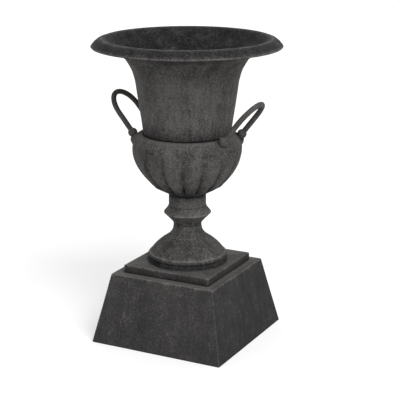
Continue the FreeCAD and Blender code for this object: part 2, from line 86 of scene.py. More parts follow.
def roundedCorner(before, corner, after, rounding):
    inward, outward = (before - corner), (after - corner)
    opening = inward.angle(outward, math.pi)
    if rounding <= 0 or opening > math.pi - cornerRule["flatEnough"]:
        return [corner]
    steps, longest, shoulder = (cornerRule[key] for key in ("steps", "longestShare", "shoulderShare"))
    reach = rounding / math.tan(opening / 2)
    reach = min(reach, longest * inward.length, longest * outward.length)
    radius = reach * math.tan(opening / 2)
    middle = (inward.normalized() + outward.normalized()).normalized()
    centre = corner + middle * (radius / math.sin(opening / 2))
    start = corner + inward.normalized() * reach
    end = corner + outward.normalized() * reach
    sweep = (start - centre).angle_signed(end - centre)
    points = [start + inward.normalized() * shoulder * radius]  # keeps the shading of the flat beside it
    for step in range(steps + 1):
        points.append(centre + Matrix.Rotation(-sweep * step / steps, 2) @ (start - centre))
    points.append(end + outward.normalized() * shoulder * radius)
    return points


def outlineCorners(entries):
    corners = []
    for entry in entries:
        if entry[0] == "curve":
            curve = smoothThrough([corners[-1][0]] + list(entry[1]), entry[2])
            corners += [(point, 0.0, 0.0, None) for point in curve[1:-1]]
            corners.append((curve[-1], 0.0, 0.0, entry[3] if len(entry) > 3 else None))
        else:
            corners.append((Vector(entry[:2]), entry[2], entry[3], entry[4] if len(entry) > 4 else 0.0))
    return corners


def clampTone(tone):
    return max(-1.0, min(1.0, tone))


def shadeAt(along, knots):
    for (start, first), (stop, second) in zip(knots, knots[1:]):
        if start <= along <= stop:
            shade = first + (second - first) * (along - start) / max(stop - start, 1e-6)
    return shade


def closedOutline(entries, longest, toneReach):
    corners = outlineCorners(entries)
    dense, marks, shades = [], [], []
    for number, (corner, rounding, tone, shade) in enumerate(corners):
        before = corners[number - 1][0]
        after = corners[(number + 1) % len(corners)][0]
        if shade is not None:
            shades.append((len(dense), shade))
        dense += roundedCorner(before, corner, after, rounding)
        if tone:
            marks.append((corner, tone))
    outline, lengths, starts = [], [], []
    for number, point in enumerate(dense):
        ahead = dense[(number + 1) % len(dense)]
        pieces = max(1, math.ceil((ahead - point).length / longest))
        starts.append(len(outline))
        outline += [point.lerp(ahead, piece / pieces) for piece in range(pieces)]
    for number, point in enumerate(outline):
        lengths.append(lengths[-1] + (point - outline[number - 1]).length if number else 0.0)
    knots = [(lengths[starts[place]], shade) for place, shade in shades]
    knots.append((lengths[-1] + (outline[0] - outline[-1]).length, shades[0][1]))
    toned = []
    for point, along in zip(outline, lengths):
        tone = sum(mark * math.exp(-((point - place).length / toneReach) ** 2) for place, mark in marks)
        toned.append((point.x, point.y, clampTone(tone), shadeAt(along, knots)))
    return toned


# Shells: an outline carried round a ring of places (x, y, tone, shade)

castUneven = {"broadScale": 14.0, "broadDepth": 0.35, "fineScale": 70.0, "fineDepth": 0.12,
              "fineShift": (7.1, 3.3, 5.9)}  # scales per metre


def roundRing(radius, count):
    angles = [2 * math.pi * k / count for k in range(count)]
    return [(radius * math.cos(angle), radius * math.sin(angle), 0.0, 0.0) for angle in angles]


def squareRing(half, sizes):
    corner = min(sizes["edge"], 0.9 * half)
    flat = half - corner
    places = []
    for side in range(4):
        turn = Matrix.Rotation(math.pi / 2 * side, 2)
        for step in range(sizes["perSide"]):
            along = -flat + 2 * flat * (0.5 - 0.5 * math.cos(math.pi * step / sizes["perSide"]))
            # Tone rises towards each rounded vertical corner: wear and painted highlight on the corners
            tone = math.exp(-((flat - abs(along)) / sizes["cornerReach"]) ** 2)
            places.append((*(turn @ Vector((half, along))), tone, sizes["paintedSideShades"][side]))
        for step in range(sizes["perCorner"]):
            angle = math.pi / 2 * step / sizes["perCorner"]
            spot = Vector((flat + corner * math.cos(angle), flat + corner * math.sin(angle)))
            places.append((*(turn @ spot), 1.0, 0.0))
    return places


def addObject(name, data):
    added = bpy.data.objects.new(name, data)
    bpy.context.collection.objects.link(added)
    return added


def meshPiece(name, verts, faces, tones, shades, place=None):
    mesh = bpy.data.meshes.new(name)
    mesh.from_pydata(verts, [], faces)
    mesh.shade_smooth()
    mesh.attributes.new("edgeTone", "FLOAT", "POINT").data.foreach_set("value", tones)
    mesh.attributes.new("skinToneAndShade", "FLOAT", "POINT").data.foreach_set("value", shades)
    if place:
        mesh.transform(place)
    return addObject(name, mesh)


def uneven(point):
    broad = noise.noise(point * castUneven["broadScale"])
    fine = noise.noise(point * castUneven["fineScale"] + Vector(castUneven["fineShift"]))
    return (castUneven["broadDepth"] * broad + castUneven["fineDepth"] * fine) * mm


def ringFaces(ring, ahead, around):
    faces = []
    for k in range(around):
        after = (k + 1) % around
        faces.append((ring * around + k, ring * around + after, ahead * around + after, ahead * around + k))
    return faces


def ringShell(name, outline, base, ringOf, edgeShare=0.0):
    verts, tones, shades, faces = [], [], [], []
    for radius, height, tone, shade in outline:
        ring = ringOf(radius)
        for x, y, sideTone, paintedSideShade in ring:
            point = Vector((x * mm, y * mm, base + height * mm))
            outward = Vector((x, y, 0)).normalized()
            verts.append(point + outward * uneven(point))
            tones.append(clampTone(tone + edgeShare * sideTone))
            shades.append(shade + paintedSideShade)
    for number in range(len(outline)):
        faces += ringFaces(number, (number + 1) % len(outline), len(ring))
    return meshPiece(name, verts, faces, tones, shades)


def turnedShell(name, entries, base, around=192, longest=4.0, toneReach=3.0):
    outline = closedOutline(entries, longest, toneReach)
    return ringShell(name, outline, base, lambda radius: roundRing(radius, around))


def squareShell(name, entries, base, sizes):
    outline = closedOutline(entries, sizes["longest"], sizes["toneReach"])
    return ringShell(name, outline, base, lambda half: squareRing(half, sizes), sizes["edgeShare"])


# Nodes

def link(tree, output, target):
    tree.links.new(output, target)


def mathNode(tree, operation, first, second=0.0, clamp=False):
    node = tree.nodes.new("ShaderNodeMath")
    node.operation = operation
    node.use_clamp = clamp
    for slot, value in enumerate((first, second)):
        if isinstance(value, (int, float)):
            node.inputs[slot].default_value = value
        else:
            link(tree, value, node.inputs[slot])
    return node.outputs[0]


def plus(tree, first, second, clamp=False):
    return mathNode(tree, "ADD", first, second, clamp)


def minus(tree, first, second, clamp=False):
    return mathNode(tree, "SUBTRACT", first, second, clamp)


def times(tree, first, second, clamp=False):
    return mathNode(tree, "MULTIPLY", first, second, clamp)


def over(tree, first, second):
    return mathNode(tree, "DIVIDE", first, second)


def remap(tree, value, given, wanted=(0.0, 1.0)):
    node = tree.nodes.new("ShaderNodeMapRange")
    for slot, number in zip(("From Min", "From Max", "To Min", "To Max"), (*given, *wanted)):
        node.inputs[slot].default_value = number
    link(tree, value, node.inputs["Value"])
    return node.outputs["Result"]


def noiseNode(tree, vector, scale, detail, roughness):
    node = tree.nodes.new("ShaderNodeTexNoise")
    node.inputs["Scale"].default_value = scale
    node.inputs["Detail"].default_value = detail
    node.inputs["Roughness"].default_value = roughness
    link(tree, vector, node.inputs["Vector"])
    return node.outputs["Fac"]


def attributeNode(tree, name):
    node = tree.nodes.new("ShaderNodeAttribute")
    node.attribute_name = name
    return node.outputs["Fac"]


def mixColour(tree, factor, first, second):
    node = tree.nodes.new("ShaderNodeMix")
    node.data_type = "RGBA"
    for slot, value in ((0, factor), (6, first), (7, second)):  # the sockets of a colour mix
        if isinstance(value, tuple):
            node.inputs[slot].default_value = (*value, 1.0)
        else:
            link(tree, value, node.inputs[slot])
    return node.outputs[2]


def mixShaders(tree, factor, first, second):
    node = tree.nodes.new("ShaderNodeMixShader")
    for slot, value in enumerate((factor, first, second)):
        link(tree, value, node.inputs[slot])
    return node.outputs[0]


def stretched(tree, place, scale):
    node = tree.nodes.new("ShaderNodeMapping")
    node.inputs["Scale"].default_value = scale
    link(tree, place, node.inputs["Vector"])
    return node.outputs["Vector"]


def addBump(tree, shader, height, strength, distance):
    bump = tree.nodes.new("ShaderNodeBump")
    bump.inputs["Strength"].default_value = strength
    bump.inputs["Distance"].default_value = distance
    link(tree, height, bump.inputs["Height"])
    link(tree, bump.outputs["Normal"], shader.inputs["Normal"])


# Cast iron: a dark skin with light patches, edges lighter from wear and painted highlight, crevices darker as
# painted shade, and upward faces lighter from dust and painted top light.
# Scales are per metre and distances in metres.

castFinish = {
    "dark": (0.0054, 0.0047, 0.0055),
    "middle": (0.0405, 0.0388, 0.0387),
    "light": (0.0960, 0.0925, 0.0875),
    # Light specks take this colour, and so do edges, as wear and painted highlight
    "wornAndHighlight": (0.185, 0.177, 0.164),
    # Colour of the painted shade in crevices and under parts
    "creviceShade": (0.0045, 0.0045, 0.0045),
    "patchScale": 7.0,
    "cloudScale": 32.0,
    "mottleScale": 170.0,
    "grainScale": 330.0,
    "speckScale": 380.0,
    "streakScale": (150.0, 150.0, 6.0),
    "bandScale": (26.0, 26.0, 1.6),
    "weights": {"patch": 0.50, "cloud": 0.60, "mottle": 0.90, "grain": 1.45, "streak": 0.75, "band": 0.60},
    "dust": 0.30,
    "roughness": 0.68,
    "specular": 0.08,
    "bumpStrength": 0.6,
    "bumpDistance": 0.0011,
}
# Where a name holds two ranges, the first is read and the second is what it gives
castRanges = {
    "facingUp": (0.55, 0.98),
    "darkToMiddle": (-0.72, 0.0),
    "middleToLight": (0.0, 0.5),
    "speck": ((0.60, 0.72), (0.0, 0.55)),
    "speckOnLight": (-0.35, 0.3),
    "mottleOnWearAndHighlight": ((0.3, 0.7), (-0.45, 0.35)),
    "cloudOnWearAndHighlight": ((0.3, 0.7), (-0.35, 0.25)),
    "wearAndHighlight": ((0.15, 1.2), (0.0, 0.62)),
    "mottleOnCreviceShade": ((0.3, 0.7), (-0.15, 0.15)),
    "creviceShade": ((-0.15, -0.85), (0.0, 0.92)),
    "mottleOnRoughness": (0.3, 0.7),
    "roughnessSwing": (-0.08, 0.12),
}


def newMaterial(name):
    material = bpy.data.materials.new(name)
    material.use_nodes = True
    return material, material.node_tree, material.node_tree.nodes["Principled BSDF"]


def castNoises(tree, settings):
    place = tree.nodes.new("ShaderNodeTexCoord").outputs["Object"]
    return {
        "patch": noiseNode(tree, place, settings["patchScale"], 3, 0.55),
        "cloud": noiseNode(tree, place, settings["cloudScale"], 4, 0.6),
        "mottle": noiseNode(tree, place, settings["mottleScale"], 3, 0.6),
        "grain": noiseNode(tree, place, settings["grainScale"], 2, 0.6),
        "speck": noiseNode(tree, place, settings["speckScale"], 1, 0.5),
        "streak": noiseNode(tree, stretched(tree, place, settings["streakScale"]), 1.0, 3, 0.55),
        "band": noiseNode(tree, stretched(tree, place, settings["bandScale"]), 1.0, 2, 0.5),
    }


def castLightness(tree, noises, settings):
    shade = attributeNode(tree, "skinToneAndShade")
    split = tree.nodes.new("ShaderNodeSeparateXYZ")
    link(tree, tree.nodes.new("ShaderNodeNewGeometry").outputs["Normal"], split.inputs[0])
    # Upward faces are made lighter: dust, and painted top light; less of it where the skin is darker
    dust = remap(tree, split.outputs["Z"], castRanges["facingUp"], (0.0, settings["dust"]))
    dustAndTopLightShare = plus(tree, shade, 1.0, clamp=True)
    lightness = plus(tree, times(tree, shade, 0.5), times(tree, dust, dustAndTopLightShare))
    for layer, weight in settings["weights"].items():
        swing = times(tree, minus(tree, noises[layer], 0.5), weight)
        lightness = plus(tree, lightness, swing)
    return lightness


def castColour(tree, noises, settings):
    ranges = castRanges
    edge = attributeNode(tree, "edgeTone")
    mottle = noises["mottle"]
    lightness = castLightness(tree, noises, settings)
    toMiddle = remap(tree, lightness, ranges["darkToMiddle"])
    toLight = remap(tree, lightness, ranges["middleToLight"])
    colour = mixColour(tree, toMiddle, settings["dark"], settings["middle"])
    colour = mixColour(tree, toLight, colour, settings["light"])
    speck = remap(tree, noises["speck"], *ranges["speck"])
    speck = times(tree, speck, remap(tree, lightness, ranges["speckOnLight"]))
    colour = mixColour(tree, speck, colour, settings["wornAndHighlight"])
    # Positive edge tones lighten towards the worn colour: wear, and painted highlight on edges
    wearAndHighlight = plus(tree, edge, remap(tree, mottle, *ranges["mottleOnWearAndHighlight"]))
    wearAndHighlight = plus(tree, wearAndHighlight, remap(tree, noises["cloud"], *ranges["cloudOnWearAndHighlight"]))
    colour = mixColour(tree, remap(tree, wearAndHighlight, *ranges["wearAndHighlight"]), colour, settings["wornAndHighlight"])
    # Negative edge tones darken towards the crevice colour: painted shade in crevices and under parts
    creviceShade = plus(tree, edge, remap(tree, mottle, *ranges["mottleOnCreviceShade"]))
    return mixColour(tree, remap(tree, creviceShade, *ranges["creviceShade"]), colour, settings["creviceShade"])


def makeCastFinish(name, **changes):
    settings = dict(castFinish, **changes)
    material, tree, shader = newMaterial(name)
    noises = castNoises(tree, settings)
    link(tree, castColour(tree, noises, settings), shader.inputs["Base Color"])
    roughness = [settings["roughness"] + swing for swing in castRanges["roughnessSwing"]]
    rough = remap(tree, noises["mottle"], castRanges["mottleOnRoughness"], roughness)
    link(tree, rough, shader.inputs["Roughness"])
    relief = plus(tree, times(tree, noises["grain"], 0.5), noises["mottle"])
    addBump(tree, shader, relief, settings["bumpStrength"], settings["bumpDistance"])
    shader.inputs["Specular IOR Level"].default_value = settings["specular"]
    return material


# Fasteners, drain and seal: two colours in clouds, with fine scratches

smallFinishes = {
    "dullZinc": {"colour": (0.32, 0.32, 0.31), "shade": (0.20, 0.20, 0.20), "roughness": 0.5,
                 "metallic": 0.85},
    "tarnishedBrass": {"colour": (0.30, 0.23, 0.11), "shade": (0.16, 0.12, 0.06), "roughness": 0.45,
                       "metallic": 0.9},
    "drainRubber": {"colour": (0.020, 0.020, 0.021), "shade": (0.030, 0.030, 0.030), "roughness": 0.75,
                    "metallic": 0.0},
}
smallRule = {"cloudScale": 160.0, "scratchScale": 900.0, "clouds": (0.35, 0.65),
             "cloudsOnRoughness": (0.3, 0.7), "roughnessSwing": (-0.08, 0.1),
             "bumpStrength": 0.3, "bumpDistance": 0.0003}


def makeSmallFinish(name):
    settings = smallFinishes[name]
    material, tree, shader = newMaterial(name)
    place = tree.nodes.new("ShaderNodeTexCoord").outputs["Object"]
    cloud = noiseNode(tree, place, smallRule["cloudScale"], 4, 0.6)
    scratch = noiseNode(tree, place, smallRule["scratchScale"], 2, 0.5)
    colour = mixColour(tree, remap(tree, cloud, smallRule["clouds"]), settings["colour"], settings["shade"])
    link(tree, colour, shader.inputs["Base Color"])
    roughness = [settings["roughness"] + swing for swing in smallRule["roughnessSwing"]]
    rough = remap(tree, cloud, smallRule["cloudsOnRoughness"], roughness)
    link(tree, rough, shader.inputs["Roughness"])
    addBump(tree, shader, scratch, smallRule["bumpStrength"], smallRule["bumpDistance"])
    shader.inputs["Metallic"].default_value = settings["metallic"]
    return material


plinthWeights = {"patch": 0.45, "cloud": 0.40, "mottle": 0.45, "grain": 0.90, "streak": 0.30, "band": 0.30}
handleWeights = {"patch": 0.30, "cloud": 0.45, "mottle": 0.45, "grain": 0.75, "streak": 0.0, "band": 0.0}
urnFinish = makeCastFinish("agedCastIron")
plinthFinish = makeCastFinish("plinthCastIron", dust=0.42, patchScale=5.0, weights=plinthWeights)
handleFinish = makeCastFinish("handleIron", weights=handleWeights, specular=0.16)
zincFinish, brassFinish, rubberFinish = (makeSmallFinish(name) for name in smallFinishes)
print("finishes made")


def settle(piece, finish, slot, *nodes):
    piece.data.materials.clear()
    piece.data.materials.append(finish)
    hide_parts(*nodes)
    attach(piece, "root")


# Plinth and slab: the side shades are painted shade on the sides facing +X, +Y, -X and -Y

plinthSizes = {"bottomHalf": 191.7, "topHalf": 151.1, "wall": 8.2, "topPlate": 9.0, "edge": 3.0, "bore": 11.5,
               "longest": 5.0, "toneReach": 3.5, "cornerReach": 3.0, "edgeShare": 0.12,
               "perSide": 56, "perCorner": 6, "paintedSideShades": (-0.50, -0.1, -0.1, -0.12)}
slabSizes = {"half": 126.3, "edge": 2.0, "bore": 11.5,
             "longest": 4.0, "toneReach": 3.0, "cornerReach": 3.0, "edgeShare": 0.4,
             "perSide": 48, "perCorner": 5, "paintedSideShades": (-0.35, -0.1, -0.1, -0.25)}


def makePlinth():
    sizes = plinthSizes
    high = seat["slab"] / mm
    ceiling = high - sizes["topPlate"]
    lean = (sizes["bottomHalf"] - sizes["topHalf"]) / high
    insideTop = sizes["bottomHalf"] - sizes["wall"] - lean * ceiling
    # Painted shade: the bottom tone is a contact shadow along the foot and -0.5 darkens where the slab sits;
    # the top edge's 0.85 is wear and painted highlight
    entries = [(sizes["bottomHalf"], 0, 1.6, -0.35, -0.12),
               (sizes["topHalf"], high, sizes["edge"], 0.85, 0.10),
               (slabSizes["half"], high, 0.0, -0.5, 0.7),
               (sizes["bore"], high, 0.5, 0.0),
               (sizes["bore"], ceiling, 0.5, 0.0),
               (insideTop, ceiling, 3.0, 0.0),
               (sizes["bottomHalf"] - sizes["wall"], 0, 1.0, 0.0)]
    piece = squareShell("castPlinth", entries, 0.0, sizes)
    settle(piece, plinthFinish, "cast_plinth", "plinth")


def makeSlab():
    sizes = slabSizes
    high = (seat["foot"] - seat["slab"]) / mm
    # The bottom's tone and shade are painted shade where the slab sits on the plinth; the top edge's 0.75 is
    # wear and painted highlight
    entries = [(sizes["half"], 0, 0.8, -0.7, -0.35),
               (sizes["half"], high, sizes["edge"], 0.75, 0.15),
               (sizes["bore"], high, 0.5, 0.0),
               (sizes["bore"], 0, 0.5, 0.0)]
    piece = squareShell("footSlab", entries, seat["slab"], sizes)
    settle(piece, plinthFinish, "cast_plinth", "base_slab")


# Foot, knop and collar: the points of bell and cove are (radius, share of the height)

footSizes = {"filletRadius": 108.6, "filletHeight": 2.2, "ringRadius": 105.0, "ringHeight": 10.4,
             "beadRadius": 107.2, "beadHeight": 11.0, "beadMiddle": 0.45, "beadUnderOut": 2.6,
             "beadUnderDrop": 1.2, "lipRadius": 102.0, "neckRadius": 37.5, "neckBore": 26.0,
             "neckBoreStart": 0.86, "wall": 8.0,
             "bell": ((87.5, 0.23), (71.0, 0.42), (50.3, 0.61), (40.2, 0.775), (37.5, 0.94))}
knopSizes = {"radius": 63.4, "edge": 1.4, "lower": 31.0, "stepRadius": 51.6, "step": 2.6, "bore": 20.0,
             "cove": ((38.5, 0.13), (41.9, 0.29), (51.0, 0.61))}
collarSizes = {"radius": 50.0, "bore": 30.0, "shadeFrom": 0.6}


def makeFoot():
    sizes = footSizes
    high = (seat["knop"] - seat["foot"]) / mm
    ringTop = sizes["filletHeight"] + sizes["ringHeight"]
    bellBase = ringTop + sizes["beadHeight"]
    bellHigh = high - bellBase
    bell = [(radius, bellBase + share * bellHigh) for radius, share in sizes["bell"]]
    inside = [(radius - sizes["wall"], height - sizes["wall"] / 2) for radius, height in bell[:3]]
    hollow = sizes["lipRadius"] - sizes["wall"]
    bead = [(sizes["beadRadius"], ringTop + sizes["beadMiddle"] * sizes["beadHeight"]),
            (sizes["lipRadius"] + sizes["beadUnderOut"], bellBase - sizes["beadUnderDrop"])]
    # Painted shade: the negative tones and shades at the fillet, the ring under the bead and the neck; the
    # lip's 0.95 is wear and painted highlight; the bell is darker towards its bottom
    entries = [(sizes["filletRadius"], 0, 0.4, -0.7, -0.4),
               (sizes["filletRadius"], sizes["filletHeight"], 0.8, 0.35, -0.3),
               (sizes["ringRadius"], sizes["filletHeight"], 0.4, -0.5, -0.6),
               (sizes["ringRadius"], ringTop, 0.4, -0.6, -0.4),
               ("curve", bead, 5, -0.1),
               (sizes["lipRadius"], bellBase, 0.4, 0.95, 0.2),
               ("curve", bell[:2], 7, -0.35),
               ("curve", bell[2:4], 7, 0.05),
               ("curve", bell[4:], 7, 0.3),
               (sizes["neckRadius"], high, 0.4, -0.5, 0.2),
               (sizes["neckBore"], high, 0.5, 0.0),
               (sizes["neckBore"], bellBase + sizes["neckBoreStart"] * bellHigh, 0.5, 0.0),
               ("curve", inside[::-1], 5),
               (hollow, bellBase - sizes["wall"] / 2, 2.0, 0.0),
               (hollow, 0, 0.5, 0.0)]
    piece = turnedShell("turnedFoot", entries, seat["foot"])
    settle(piece, urnFinish, "cast_urn", "pedestal_foot")


def makeKnop():
    sizes = knopSizes
    high = (seat["collar"] - seat["knop"]) / mm
    cove = [(radius, share * sizes["lower"]) for radius, share in sizes["cove"]]
    # The -0.5 at the neck and -0.2 under the step are painted shade; the positive edge tones are wear and
    # painted highlight
    entries = [(footSizes["neckRadius"], 0, 0.4, -0.5, 0.1),
               ("curve", cove[:1], 5, 0.0),
               ("curve", cove[1:], 5, 0.35),
               (sizes["radius"], sizes["lower"], 0.9, 0.4, 0.45),
               (sizes["radius"], sizes["lower"] + sizes["edge"], 0.9, 0.6, 0.5),
               (sizes["stepRadius"], high - sizes["step"], 0.5, -0.2, 0.3),
               (sizes["stepRadius"], high, 0.8, 0.5, 0.4),
               (sizes["bore"], high, 0.5, 0.0),
               (sizes["bore"], 0, 0.5, 0.0)]
    piece = turnedShell("slopedKnop", entries, seat["knop"], around=160, longest=3.0)
    settle(piece, urnFinish, "cast_urn", "stem_knop")


def makeCollar():
    sizes = collarSizes
    high = (seat["bowl"] - seat["collar"]) / mm
    # Painted shade: the bottom's -0.4 where the collar meets the knop and the top's -1.0 and -0.5 under the
    # bowl
    entries = [(sizes["radius"], 0, 0.5, -0.4, 0.5),
               (sizes["radius"], sizes["shadeFrom"] * high, 0.0, 0.0, 0.5),
               (sizes["radius"], high, 0.5, -1.0, -0.5),
               (sizes["bore"], high, 0.5, 0.0),
               (sizes["bore"], 0, 0.5, 0.0)]
    piece = turnedShell("stemCollar", entries, seat["collar"], around=144, longest=3.0, toneReach=5.0)
    settle(piece, urnFinish, "cast_urn", "stem_collar")


# Bowl: a plain turned shell, then a rule presses the grooves between its lobes and paints shade into the
# grooves, pits and quirk line and light on the crests. The lengths in lobeRule, and underside in lobeTones,
# are in metres.

bowlSizes = {"seatRadius": 52.5, "undersideRadius": 72.0, "undersideHeight": 21.0, "lobeHeight": 110.0,
             "lowerRadius": 91.5, "widestRadius": 145.8, "widestHeight": 97.0, "fullness": 1.85,
             "shoulderRadius": 145.4, "shoulderHeight": 30.6, "shelfRadius": 129.0, "bodyFoot": 116.0,
             "shoulderCurve": ((0.16, 0.4), (0.55, 0.8)), "crestSteps": 16, "shelfOpening": 88.5,
             "shelf": 10.0, "wall": 7.5, "floor": 11.0, "drainHole": 17.0,
             "insideShares": (0.93, 0.7, 0.42, 0.16, 0.0), "skinFrom": 0.2, "skinEndsBelowTop": 3.0,
             "perLobe": 18, "longest": 2.3, "toneReach": 3.6}
# Crest Light and Groove Shade are painted light on the lobe crests and painted shade in the grooves
lobeRule = {"Lobe Count": 16, "Lobe Base": 0.0, "Lobe Height": 0.110, "Groove Depth": 0.0075,
            "End Depth": 0.0004, "Pit Depth": 0.0040, "Pit Reach": 0.009, "Arch Drop": 0.035,
            "Quirk Depth": 0.0007, "Quirk Width": 0.0020, "Painted Crest Light": 0.24, "Painted Groove Shade": 0.85}
# grooveDark, pitDark and quirkDark are painted shade in the grooves, in the pits at the lobe ends and along
# the quirk line
lobeTones = {"underside": (-0.019, -0.002), "groovePower": 2.6, "grooveDark": 0.85, "pitPower": 3.0,
             "pitDark": 1.3, "quirkDark": 0.75, "brokenScale": 30.0, "broken": (0.38, 0.62),
             "shadePower": 1.4, "shadeEnd": 2.5}


def crestRadius(height):
    sizes = bowlSizes
    if height >= sizes["widestHeight"]:
        along = (height - sizes["widestHeight"]) / (sizes["lobeHeight"] - sizes["widestHeight"])
        return sizes["widestRadius"] + (sizes["shoulderRadius"] - sizes["widestRadius"]) * along
    left = 1 - height / sizes["widestHeight"]
    swell = sizes["widestRadius"] - sizes["lowerRadius"]
    return sizes["lowerRadius"] + swell * (1 - left ** sizes["fullness"])


def readAttribute(tree, name):
    node = tree.nodes.new("GeometryNodeInputNamedAttribute")
    node.inputs["Name"].default_value = name
    return node.outputs["Attribute"]


def storeAttribute(tree, geometry, name, value):
    node = tree.nodes.new("GeometryNodeStoreNamedAttribute")
    node.inputs["Name"].default_value = name
    link(tree, geometry, node.inputs["Geometry"])
    link(tree, value, node.inputs["Value"])
    return node.outputs["Geometry"]


def fallingOff(tree, value):  # 1 at nought, going to 0 on both sides
    return mathNode(tree, "EXPONENT", times(tree, times(tree, value, value), -1.0))


def lobeShape(tree, given):
    split = tree.nodes.new("ShaderNodeSeparateXYZ")
    link(tree, tree.nodes.new("GeometryNodeInputPosition").outputs[0], split.inputs[0])
    x, y, z = split.outputs
    turn = over(tree, mathNode(tree, "ARCTAN2", y, x), 2 * math.pi)
    within = mathNode(tree, "FRACT", times(tree, turn, given["Lobe Count"]))
    across = minus(tree, times(tree, within, 2.0), 1.0)
    square = times(tree, across, across)  # 0 on a crest, 1 in a groove
    high = minus(tree, z, given["Lobe Base"])
    arch = minus(tree, 1.0, times(tree, given["Arch Drop"], square))
    archTop = times(tree, given["Lobe Height"], arch)
    share = over(tree, high, archTop)
    left = minus(tree, 1.0, mathNode(tree, "MAXIMUM", share, 0.0), clamp=True)
    span = minus(tree, given["Groove Depth"], given["End Depth"])
    groove = times(tree, mathNode(tree, "SQRT", left), span)
    pit = times(tree, given["Pit Depth"], fallingOff(tree, over(tree, high, given["Pit Reach"])))
    below = remap(tree, high, lobeTones["underside"])
    depth = times(tree, times(tree, plus(tree, groove, pit), square), below)
    quirk = fallingOff(tree, over(tree, minus(tree, high, archTop), given["Quirk Width"]))
    press = plus(tree, depth, times(tree, quirk, given["Quirk Depth"]))
    return {"x": x, "y": y, "square": square, "left": left, "below": below, "pit": pit, "quirk": quirk,
            "press": press}


def pressShell(tree, shell, lobe, outerSkin):
    flat = tree.nodes.new("ShaderNodeCombineXYZ")
    link(tree, lobe["x"], flat.inputs[0])
    link(tree, lobe["y"], flat.inputs[1])
    unit = tree.nodes.new("ShaderNodeVectorMath")
    unit.operation = "NORMALIZE"
    link(tree, flat.outputs[0], unit.inputs[0])
    push = tree.nodes.new("ShaderNodeVectorMath")
    push.operation = "SCALE"
    link(tree, unit.outputs[0], push.inputs[0])
    press = times(tree, lobe["press"], outerSkin)
    link(tree, times(tree, press, -1.0), push.inputs["Scale"])
    move = tree.nodes.new("GeometryNodeSetPosition")
    link(tree, shell, move.inputs["Geometry"])
    link(tree, push.outputs[0], move.inputs["Offset"])
    return move.outputs["Geometry"]


# Painted shade: darkens the grooves, the pits at the lobe ends and the quirk line, in broken patches
def paintedGrooveShade(tree, given, lobe, outerSkin):
    tones = lobeTones
    patches = tree.nodes.new("ShaderNodeTexNoise")
    patches.inputs["Scale"].default_value = tones["brokenScale"]
    broken = remap(tree, patches.outputs["Fac"], tones["broken"])
    groove = mathNode(tree, "POWER", lobe["square"], tones["groovePower"])
    groove = times(tree, groove, times(tree, lobe["below"], lobe["left"]))
    pit = mathNode(tree, "POWER", lobe["square"], tones["pitPower"])
    pit = times(tree, pit, over(tree, lobe["pit"], given["Pit Depth"]))
    dark = plus(tree, times(tree, groove, tones["grooveDark"]), times(tree, pit, tones["pitDark"]))
    dark = plus(tree, dark, times(tree, lobe["quirk"], tones["quirkDark"]))
    dark = times(tree, times(tree, dark, broken), outerSkin)
    return minus(tree, readAttribute(tree, "edgeTone"), dark)


# Painted light and shade: lightens the lobe crests and darkens the grooves, fading out towards the shoulder
# and the underside
def paintedCrestLight(tree, given, lobe, outerSkin):
    fade = times(tree, lobe["below"], times(tree, lobe["left"], lobeTones["shadeEnd"], clamp=True))
    groove = mathNode(tree, "POWER", lobe["square"], lobeTones["shadePower"])
    swing = minus(tree, given["Painted Crest Light"], times(tree, groove, given["Painted Groove Shade"]))
    swing = times(tree, times(tree, swing, fade), outerSkin)
    return plus(tree, readAttribute(tree, "skinToneAndShade"), swing)


def lobeTree(finish):
    tree = bpy.data.node_groups.new("pressLobes", "GeometryNodeTree")
    tree.is_modifier = True
    tree.interface.new_socket(name="Shell", in_out="INPUT", socket_type="NodeSocketGeometry")
    for name in lobeRule:
        tree.interface.new_socket(name=name, in_out="INPUT", socket_type="NodeSocketFloat")
    tree.interface.new_socket(name="Lobed Shell", in_out="OUTPUT", socket_type="NodeSocketGeometry")
    given = tree.nodes.new("NodeGroupInput").outputs
    outerSkin = readAttribute(tree, "outerSkin")
    lobe = lobeShape(tree, given)
    shell = pressShell(tree, given["Shell"], lobe, outerSkin)
    shell = storeAttribute(tree, shell, "edgeTone", paintedGrooveShade(tree, given, lobe, outerSkin))
    shell = storeAttribute(tree, shell, "skinToneAndShade", paintedCrestLight(tree, given, lobe, outerSkin))
    real = tree.nodes.new("GeometryNodeRealizeInstances")
    link(tree, shell, real.inputs["Geometry"])
    paint = tree.nodes.new("GeometryNodeSetMaterial")
    paint.inputs["Material"].default_value = finish
    link(tree, real.outputs["Geometry"], paint.inputs["Geometry"])
    link(tree, paint.outputs["Geometry"], tree.nodes.new("NodeGroupOutput").inputs[0])
    return tree


def applyTree(piece, tree, values):
    rule = piece.modifiers.new("rule", "NODES")
    rule.node_group = tree
    for socket in tree.interface.items_tree:
        if socket.in_out == "INPUT" and socket.name in values:
            rule[socket.identifier] = float(values[socket.name])
    piece.update_tag()
    bpy.context.view_layer.update()
    graph = bpy.context.evaluated_depsgraph_get()
    baked = bpy.data.meshes.new_from_object(piece.evaluated_get(graph))
    piece.modifiers.clear()
    piece.data = baked


def markOuterSkin(piece, outline, around, high):
    marks, reachedTop = [], False
    for radius, height, tone, shade in outline:
        reachedTop = reachedTop or height > high - bowlSizes["skinEndsBelowTop"]
        marks += [0.0 if reachedTop or height < bowlSizes["skinFrom"] else 1.0] * around
    piece.data.attributes.new("outerSkin", "FLOAT", "POINT").data.foreach_set("value", marks)


